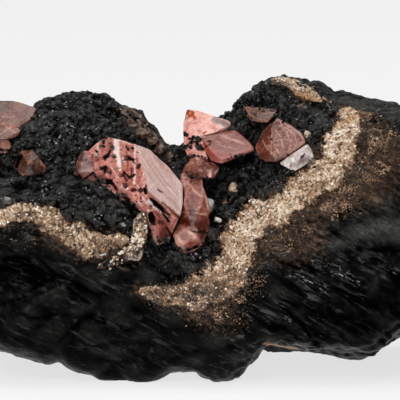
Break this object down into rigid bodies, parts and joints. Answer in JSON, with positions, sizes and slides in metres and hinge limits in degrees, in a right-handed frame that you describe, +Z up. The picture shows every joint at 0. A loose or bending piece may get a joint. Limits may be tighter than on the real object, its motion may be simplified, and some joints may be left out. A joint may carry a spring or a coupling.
{
  "type": "mineral specimen",
  "caption": "Pink rhodochrosite rhombs in a pocket of a black manganese oxide stone with tan quartz seams, standing on its own feet.",
  "frame": {"origin": "centre of the bounding box's bottom face, on the surface that the stone rests on", "axes": "+X to the right along the stone's length as seen from the show side, +Y away from the viewer, +Z up"},
  "size_m": [0.108, 0.05, 0.0574],
  "materials": {
    "manganese_oxide": "natural broken skin, black, half dull with hackly glossy ridges",
    "druse_quartz": "sugary crust of tiny tan quartz points",
    "rhodochrosite": "pink, part clear, glassy cleavage faces with pits",
    "brown_rhodochrosite": "brown stained, glassy",
    "pale_quartz": "pale, part clear, glassy"
  },
  "bodies": {
    "root": {"matrix": "manganese_oxide", "druse_left": "druse_quartz", "druse_right": "druse_quartz", "druse_top": "druse_quartz", "crystal_main": "rhodochrosite", "crystal_centre": "rhodochrosite", "crystal_upper": "rhodochrosite", "crystal_wedge": "rhodochrosite", "crystal_right": "rhodochrosite", "crystal_left": "rhodochrosite", "crystal_shadow": "brown_rhodochrosite", "crystal_brown": "brown_rhodochrosite", "brown_vein_crust": "brown_rhodochrosite", "pale_crystal_right": "pale_quartz", "pale_vein_crust": "pale_quartz"}
  },
  "joints": []
}
